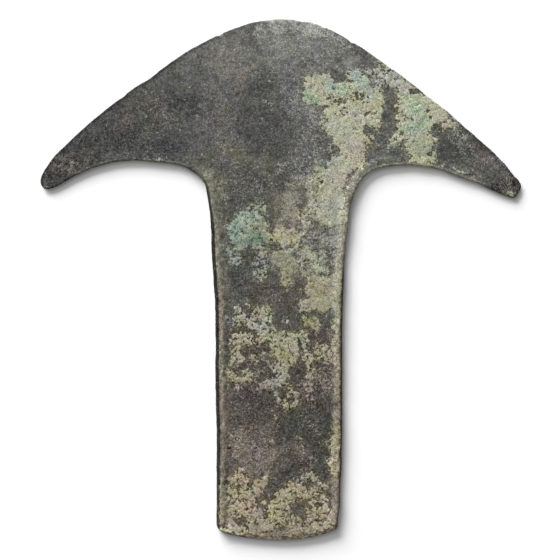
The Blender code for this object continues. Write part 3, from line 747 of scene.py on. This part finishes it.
# How strong it is elsewhere beside that, with the places given as the tints' are.
GRAIN = [
    (0.75, 4, (8, 40, 3), (-2, -4, 3)),
    (0.6, 3, (49, 38.5, 3)),
    (1.3, 4, (12, 65, 4), (-42, 44, 4), (-12, 0, 3), (2, -52, 3)),
    (1.5, 4, (-63, 33, 3)),
    (1.8, 3, [(-13, -48, 2), (-6, -49, 3)]),
]


def linear(colour):
    """How much light a skin of that screen colour sends back.

    It is the usual curve of power 2.4, plus the painted sheen, over the studio's glow.
    """
    c = np.array(colour, float).clip(0) / 255
    return (np.where(c < 0.04045, c / 12.92, ((c + 0.055) / 1.055) ** 2.4) + PAINTED_SHEEN) / GLOW


def laid_over(skin, colour, share):
    """The skin with a colour laid over it, by the colour's share at each place."""
    return skin + (colour - skin) * share[:, None]


def tinted(places, base, tints, seed):
    """The base colour with each tint laid over it where it grew, its borders wandering softly."""
    colour = np.tile(np.array(base, float), (len(places), 1))
    wander = cloud(places, 5.0, 3, seed)
    grit = cloud(places, 0.8, 2, seed + 3)
    for tint, softness, *chains in tints:
        within = reach_any(places, chains) + 0.4 * softness * wander + 0.8 * grit
        colour = laid_over(colour, tint, rise(-1.4 * softness, softness, within))
    return colour


def stained(crust, ground, stain, places, seed):
    """Crust and ground with each taking on some of the other's hue, as salts stain the metal.

    A hue is how far the three channels stand from their mean. Both drift over a few
    millimetres, to red or green and to yellow or blue.
    """
    crust_tone, ground_tone = crust.mean(axis=1)[:, None], ground.mean(axis=1)[:, None]
    crust_hue, ground_hue = crust - crust_tone, ground - ground_tone
    red = cloud(places, 4.5, 3, seed)[:, None] * (1.2, -1.2, 0)
    blue = cloud(places, 4.5, 3, seed + 4)[:, None] * (-1.6, -1.6, 3.2)
    drift = (red + blue) * (0.4 + 0.6 * stain)[:, None]
    step = crust_hue - ground_hue
    under = ground_hue + step * (0.9 * stain)[:, None]
    over = ground_hue + step * (0.4 + 0.6 * stain)[:, None]
    return crust_tone + over + drift, ground_tone + under + drift


# The rim's own skin is tan and olive, brushed bare of crust by handling.
RIM_SKIN = (140, 132, 116)
RIM_TINTS = [
    ((148, 142, 124), 1, [(-20, 25, 30), (20, 25, 30)]),
    ((164, 156, 139), 3, [(-18, -8, 3), (-18, -24, 3)]),
    ((174, 168, 148), 1.5, [(-17.6, -20, 1), (-17.6, -23, 1)]),
    ((131, 122, 111), 4, [(-18, -36, 3), (-18, -54, 3)]),
    ((160, 157, 141), 3, (-18, 10, 6)),
    ((118, 117, 105), 2, (20.5, 25.5, 1.5)),
    ((144, 132, 114), 3, [(17, -16, 3), (17, -36, 3)]),
    ((142, 140, 113), 1.5, [(17.5, -4, 2), (17.5, -12, 2)]),
    ((112, 106, 96), 2, (16.2, -37.6, 1.6)),
    ((143, 136, 107), 2, [(15.5, -43, 2), (15.5, -49, 2)]),
    ((155, 144, 115), 2, [(15.6, -54, 1.4), (15.6, -57, 1.2)]),
    ((116, 107, 99), 2, (16, -61, 2)),
    ((120, 122, 105), 4, [(-20.5, 24, 4), (-25, 32, 4)]),
    ((138, 140, 127), 1.5, (-19.4, 20.5, 1.2)),
    ((122, 121, 107), 3, [(24, 30, 3), (36, 34, 3)]),
]
FOOT_PAINTED_LIGHT = 0.42  # low on the shaft's left, painted light makes the shaded foot of the rim this much paler
# Dark bands painted down the shaft's sides, left (-1) and right (1): how wide, how far up, and the colour.
WALL_BANDS = {-1: (1.15, 34, (25, 23, 17)), 1: (0.6, 8, (67, 61, 45))}
FADED_LOW = (5, 5, 4)  # they are this much paler low on the shaft
FADED_END = (20, 19, 16)  # and more so near its end
LIP = 0.45  # along the shaft's end a pale lip is left outside a dark groove
# the lip's own pale skin, made paler still by painted light that lifts the shade on the end's wall
LIP_SKIN_AND_LIGHT = (170, 163, 148)
GROOVE = 0.95
GROOVE_SKIN = (72, 65, 48)
# Under the wings the wall is painted paler, less so on the left and least in the left crook: painted light
# that lifts its shade, and on the right partly the wall's own pale skin.
PALE_SKIN_AND_LIGHT_RIGHT = (174, 172, 156)
PAINTED_LIGHT_LEFT = (128, 128, 121)
PAINTED_LIGHT_CROOK = (88, 88, 78)
TOP_SHADE = 0.5  # along the wings' tops painted shade makes the wall darker by up to this share


def rim_and_foot(ground, places, gap, station):
    """The ground with the rim's skin over it, and painted light in a band along the rim's foot, which lifts
    its shade.
    """
    x, y = places.T
    uneven = 0.3 * cloud(places, 2.5, 3, seed=155)
    wide = 0.4 * rise(-12, -4, y) * (x < 0)
    on_rim = rise(0.4, 0.8, rim_front[station]) * fall(1.9, 3.0, gap + uneven - wide)
    on_rim = on_rim * rise(-74, -70, y) * rise(-26, -20, x)
    ground = laid_over(ground, tinted(places, RIM_SKIN, RIM_TINTS, seed=151), 0.95 * on_rim)
    # a band of painted light along the rim's foot lifts the shade there
    foot = np.exp(-(((gap - 2.4) / 0.65) ** 2)) * rise(0.8, 0.95, -edge_out[station, 0])
    return ground * (1 + FOOT_PAINTED_LIGHT * foot * fall(-26, -8, y))[:, None]


def shaft_sides(ground, places, gap, station):
    """The ground with the dark bands on the shaft's sides, and how much of each place they take."""
    y = places[:, 1]
    end = fall(-62, -56, y)
    faded = FADED_LOW * fall(-45, -16, y)[:, None] + FADED_END * end[:, None]
    # they are widest by the middle of the shaft
    narrower = 0.2 * end + 0.35 * rise(12, 22, y)
    inset = gap + 0.07 * cloud(places, 1.6, 2, seed=191) + narrower
    taken = np.zeros(len(places))
    for side, (width, top, colour) in WALL_BANDS.items():
        along = rise(0.75, 0.95, side * edge_out[station, 0]) * fall(top - 10, top, y)
        band = along * fall(width - 0.15, width + 0.15, inset)
        ground = laid_over(ground, colour + faded, band)
        taken += band
    return ground, taken


def shaft_end(ground, places, gap, station):
    """The ground with the groove and lip of the shaft's end, and how much of each place they take."""
    x, y = places.T
    at_end = end_of_shaft(y, edge_out[station, 1]) * fall(11, 15, abs(x - 3))
    inset = gap + 0.12 * cloud(places, 1.5, 2, seed=193)
    groove = at_end * rise(LIP - 0.1, LIP + 0.1, inset) * fall(GROOVE, GROOVE + 0.3, inset)
    lip = at_end * fall(LIP - 0.15, LIP + 0.1, inset)
    return laid_over(laid_over(ground, GROOVE_SKIN, 0.8 * groove), LIP_SKIN_AND_LIGHT, lip), groove + lip


def wing_walls(ground, places, gap, station):
    """The ground with painted light on the wall under the wings and in the crooks, partly the wall's own
    pale skin on the right, and painted shade on the wall along the tops.
    """
    x, y = places.T
    on_wall = fall(0.5, 1.1, gap)
    # painted light on the wall under the wings, partly the wall's own pale skin on the right
    skin_and_light = rise(0.1, 0.5, -edge_out[station, 1]) * rise(14, 20, y)
    skin_and_light = skin_and_light * fall(56, 62, abs(x)) * on_wall
    left = laid_over(np.tile(PAINTED_LIGHT_LEFT, (len(x), 1)), PAINTED_LIGHT_CROOK, rise(-30, -25, x))
    ground = laid_over(ground, laid_over(left, PALE_SKIN_AND_LIGHT_RIGHT, rise(10, 20, x)), 0.8 * skin_and_light)
    # the shade is strong on the left wing, gone at the crown and half as strong at the right tip
    shade = 1 - 0.2 * rise(-46, -38, x) - 0.8 * rise(-25, -6, x) + 0.55 * rise(46, 54, x)
    top = rise(0.2, 0.5, edge_out[station, 1]) * on_wall
    return ground * (1 - TOP_SHADE * top * shade)[:, None]


def front_skin(places, gap, station):
    """The front's patina: how far the crust is over its threshold, the dust, how grainy the
    ground is, and the colours of crust and ground.
    """
    crust = tinted(places, CRUST_BASE, CRUST_TINTS, seed=131)
    ground = tinted(places, GROUND_BASE, GROUND_TINTS, seed=141)
    share, dust, stain = crust_share(places, seed=101)
    ground = laid_over(ground, UNDER_CRUST, 0.75 * rise(0.1, 0.8, share))
    crust, ground = stained(crust, ground, stain, places, seed=171)
    grain = GRAIN_TONE / ground.mean(axis=1) * tinted(places, (1,), GRAIN, seed=175)[:, 0]
    cover = share - lacework(places, seed=161)
    ground = rim_and_foot(ground, places, gap, station)
    ground, taken = shaft_sides(ground, places, gap, station)
    cover -= taken * (0.6 + cover.clip(0))
    dust *= 1 - taken
    ground, taken = shaft_end(ground, places, gap, station)
    cover -= taken * (0.4 + cover.clip(0))
    ground = wing_walls(ground, places, gap, station)
    return cover, dust, grain, linear(crust), linear(ground)


def back_skin(places, gap, station):
    """The back's patina: the same growths and tones, but wherever noise puts them."""
    bloom = cloud(places, 22.0, 4, seed=201)
    cover = 1.1 * rise(0.55, 1.1, bloom) - lacework(places, seed=162)
    dust = 0.15 + 0.5 * rise(0.0, 1.0, bloom)
    hue = even(cloud(places, 14.0, 3, seed=211))[:, None]
    crust = (160, 172, 150) * (1 - hue) + (168, 156, 122) * hue
    tone = even(cloud(places, 17.0, 4, seed=221))[:, None]
    ground = (72, 71, 68) * (1 - tone) + (98, 92, 84) * tone
    return cover, dust, np.ones(len(places)), linear(crust), linear(ground)


# ------------------------------------------------
# The two faces: the hammered metal with the crust standing on it as a rough rind, and fine
# pits that corrosion has eaten. The back is worn flat where the piece lies on it.

CRUST_THICKNESS = 0.09
PIT_DEPTH = 0.02
WORN_OFF = 0.01  # the worn places end this far over the table


def relief(places, gap, station, side, cover):
    """The skin's height over mid height: the metal, the crust's thickness on it, and fine pits."""
    lumps = 1 + 0.18 * cloud(places, 1.2, 2, seed=171)
    thickness = CRUST_THICKNESS * rise(-0.02, 0.40, cover) * lumps
    pits = PIT_DEPTH * cloud(places, 1.1, 2, seed=181 + side)
    return metal_height(places, gap, station, side) + (thickness + pits) * rise(0.3, 1.0, gap)


front_look = front_skin(front_points, front_gap, front_station)
back_look = back_skin(back_points, back_gap, back_station)
front_height = relief(front_points, front_gap, front_station, 1, front_look[0])
back_height = relief(back_points, back_gap, back_station, -1, back_look[0])
back_height = back_height.clip(max=MIDDLE_Z - WORN_OFF)

# ------------------------------------------------
# The side wall: a half-round profile carried along the edge, from the back's shoulder
# through mid height to the front's, so the two faces and the wall close into one skin.

WALL_TURNS = np.radians([-67, -45, -22, 0, 22, 45, 67])
count = len(edge)
wall_xyz, wall_look = [], []
for turn in WALL_TURNS:
    # at an angle a the row is inset by SHOULDER (1 - cos a), and stands at sin a times the
    # height of the shoulder on its side
    inset = SHOULDER * (1 - math.cos(turn))
    row = edge - inset * edge_out
    shoulder_height = front_height[:count] if turn > 0 else back_height[:count]
    wall_xyz.append(np.column_stack([row, MIDDLE_Z + math.sin(turn) * shoulder_height]))
    skin_here = front_skin if turn >= 0 else back_skin
    wall_look.append(skin_here(row, np.full(count, inset), np.arange(count)))


def assemble():
    """The skin as points and triangles: back face, wall, front face, joined at the shoulders."""
    back_xyz = np.column_stack([back_points, MIDDLE_Z - back_height])
    front_xyz = np.column_stack([front_points, MIDDLE_Z + front_height])
    first_front = len(back_xyz) + len(wall_xyz) * count
    loop = np.arange(count)
    rows = [loop] + [len(back_xyz) + k * count + loop for k in range(len(wall_xyz))] + [first_front + loop]
    sides = []
    for lower, upper in zip(rows, rows[1:]):
        next_lower, next_upper = np.roll(lower, -1), np.roll(upper, -1)
        sides.append(np.stack([lower, next_lower, next_upper], axis=1))
        sides.append(np.stack([lower, next_upper, upper], axis=1))
    triangles = np.concatenate([back_faces[:, ::-1], *sides, front_faces + first_front])
    return np.concatenate([back_xyz, *wall_xyz, front_xyz]), triangles


xyz, triangles = assemble()
mesh = bpy.data.meshes.new("axe_money_skin")
mesh.from_pydata((xyz * MM).tolist(), [], triangles.tolist())
mesh.update()
mesh.shade_smooth()


def paint(name, values):
    """Stores one number or one colour for each point of the mesh."""
    if values.ndim == 1:
        layer = mesh.attributes.new(name, "FLOAT", "POINT")
        layer.data.foreach_set("value", values.astype(np.float32))
    else:
        layer = mesh.attributes.new(name, "FLOAT_COLOR", "POINT")
        solid = np.column_stack([values, np.ones(len(values))])
        layer.data.foreach_set("color", solid.astype(np.float32).ravel())


looks = [back_look, *wall_look, front_look]
for k, name in enumerate(("cover", "dust", "grain", "crust", "ground")):
    paint(name, np.concatenate([look[k] for look in looks]))


# ------------------------------------------------
# The finish: dull dark patina with a fine pale grain, under a matt mineral crust with
# pinholes. Both are dry and rough.

NOISE_LOW, NOISE_HIGH = 0.28, 0.72  # nearly all of a noise's values lie between these
SHEEN = 0.03
METAL_ROUGHNESS, CRUST_ROUGHNESS = 0.66, 0.92


def patina():
    """The patina's material: noise by size lightens and darkens what the points are painted."""
    material = bpy.data.materials.new("patinated_copper")
    material.use_nodes = True
    nodes, links = material.node_tree.nodes, material.node_tree.links
    shader = nodes["Principled BSDF"]
    shader.inputs["Metallic"].default_value = 0.0
    shader.inputs["Specular IOR Level"].default_value = SHEEN
    where = nodes.new("ShaderNodeTexCoord").outputs["Object"]

    def attribute(name, output="Fac"):
        """What the points are painted under that name."""
        node = nodes.new("ShaderNodeAttribute")
        node.attribute_name = name
        return node.outputs[output]

    def noise(width, detail, seed=0.0):
        """Noise whose bumps are that many millimetres wide, evenly spread round 0.5."""
        shift = nodes.new("ShaderNodeMapping")
        shift.inputs["Location"].default_value = (seed, seed * 2, 0)
        links.new(where, shift.inputs["Vector"])
        node = nodes.new("ShaderNodeTexNoise")
        node.inputs["Scale"].default_value = 1000 / width
        node.inputs["Detail"].default_value = detail
        node.inputs["Roughness"].default_value = 0.6
        links.new(shift.outputs["Vector"], node.inputs["Vector"])
        return node.outputs["Fac"]

    def fill(sockets, values):
        """Sets each socket to its number or colour, or joins it to its node's output."""
        for socket, value in zip(sockets, values):
            if isinstance(value, tuple):
                socket.default_value = (*value, 1)
            elif isinstance(value, (int, float)):
                socket.default_value = value
            else:
                links.new(value, socket)

    def maths(operation, *values):
        """One sum on numbers or other nodes' outputs."""
        node = nodes.new("ShaderNodeMath")
        node.operation = operation
        fill(node.inputs, values)
        return node.outputs[0]

    def ramp(value, low, high, start=0.0, end=1.0):
        """Start below low, end above high, and a smooth step between."""
        node = nodes.new("ShaderNodeMapRange")
        node.interpolation_type = "SMOOTHSTEP"
        fill(node.inputs, (value, low, high, start, end))
        return node.outputs["Result"]

    def mix(share, a, b):
        """Colour a with colour b over it, by that share."""
        node = nodes.new("ShaderNodeMix")
        node.data_type = "RGBA"
        fill((node.inputs[0], node.inputs[6], node.inputs[7]), (share, a, b))
        return node.outputs[2]

    def shaded(colour, value=1.0, saturation=1.0):
        """A colour with its lightness and the spread of its channels each times a factor."""
        node = nodes.new("ShaderNodeHueSaturation")
        sockets = (node.inputs[name] for name in ("Color", "Value", "Saturation"))
        fill(sockets, (colour, value, saturation))
        return node.outputs["Color"]

    def tone(colour, value):
        """A colour made lighter or darker by a factor, and paler as it gets lighter.

        The spread of its channels grows only as the factor to the power 0.58, which on a
        screen leaves the steps between them as they were.
        """
        return shaded(colour, value, maths("POWER", value, -0.42))

    def sway(value, spread):
        """A factor of about 1 that follows the noise by that much either way."""
        return ramp(value, NOISE_LOW, NOISE_HIGH, 1 - spread, 1 + spread)

    def grainy(value, spread):
        """The same, with the spread times how grainy the ground is."""
        swing = ramp(value, NOISE_LOW, NOISE_HIGH, -spread, spread)
        return maths("MULTIPLY_ADD", swing, attribute("grain"), 1.0)

    fine = noise(0.30, 1)
    grain = noise(0.70, 2, seed=0.007)
    broad = noise(1.9, 2, seed=0.013)

    ground = attribute("ground", "Color")
    ground = tone(ground, maths("MULTIPLY", grainy(fine, 0.50), grainy(grain, 0.46)))
    ground = tone(ground, grainy(broad, 0.30))

    crust = attribute("crust", "Color")
    crust = tone(crust, maths("MULTIPLY", sway(fine, 0.39), sway(grain, 0.19)))
    crust = tone(crust, sway(broad, 0.10))
    # pinholes: the low tail of a fine noise, crowded where a broad one is low too
    holes = maths("MULTIPLY_ADD", broad, 0.5, noise(0.62, 1, seed=0.033))
    crust = tone(crust, ramp(holes, 0.52, 0.60, 0.45, 1.0))

    # dust settles where two fine noises are low, so that it lies in small grains and clumps
    clumps = maths("MULTIPLY", noise(1.3, 2, seed=0.061), 0.38)
    clumps = maths("MULTIPLY_ADD", noise(0.42, 1, seed=0.021), 0.62, clumps)
    need = maths("MULTIPLY_ADD", attribute("dust"), -0.30, 0.665)
    dusty = ramp(maths("SUBTRACT", clumps, need), -0.07, 0.08, 0.0, 0.76)
    ground = mix(dusty, ground, crust)

    # the crust lies where its level is over 0, and its thin borders are darker
    level = maths("MULTIPLY_ADD", maths("SUBTRACT", grain, 0.5), 0.75, attribute("cover"))
    level = maths("MULTIPLY_ADD", maths("SUBTRACT", fine, 0.5), 0.45, level)
    covered = ramp(level, -0.05, 0.10)
    crust = tone(crust, ramp(level, -0.08, 0.40, 0.78, 1.06))
    # and its yellow is stronger in some specks than in others
    crust = shaded(crust, saturation=sway(noise(0.95, 1, seed=0.045), 0.14))

    links.new(mix(covered, ground, crust), shader.inputs["Base Color"])
    links.new(ramp(covered, 0.0, 1.0, METAL_ROUGHNESS, CRUST_ROUGHNESS), shader.inputs["Roughness"])

    bump = nodes.new("ShaderNodeBump")
    bump.inputs["Distance"].default_value = 0.001
    bump.inputs["Strength"].default_value = 0.7
    height = maths("ADD", maths("MULTIPLY", covered, 0.05), maths("MULTIPLY", grain, 0.06))
    links.new(height, bump.inputs["Height"])
    links.new(bump.outputs["Normal"], shader.inputs["Normal"])
    return material


mesh.materials.append(patina())
skin = bpy.data.objects.new("axe_money_skin", mesh)
scene.collection.objects.link(skin)
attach(skin, "root")
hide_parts("axe_money")
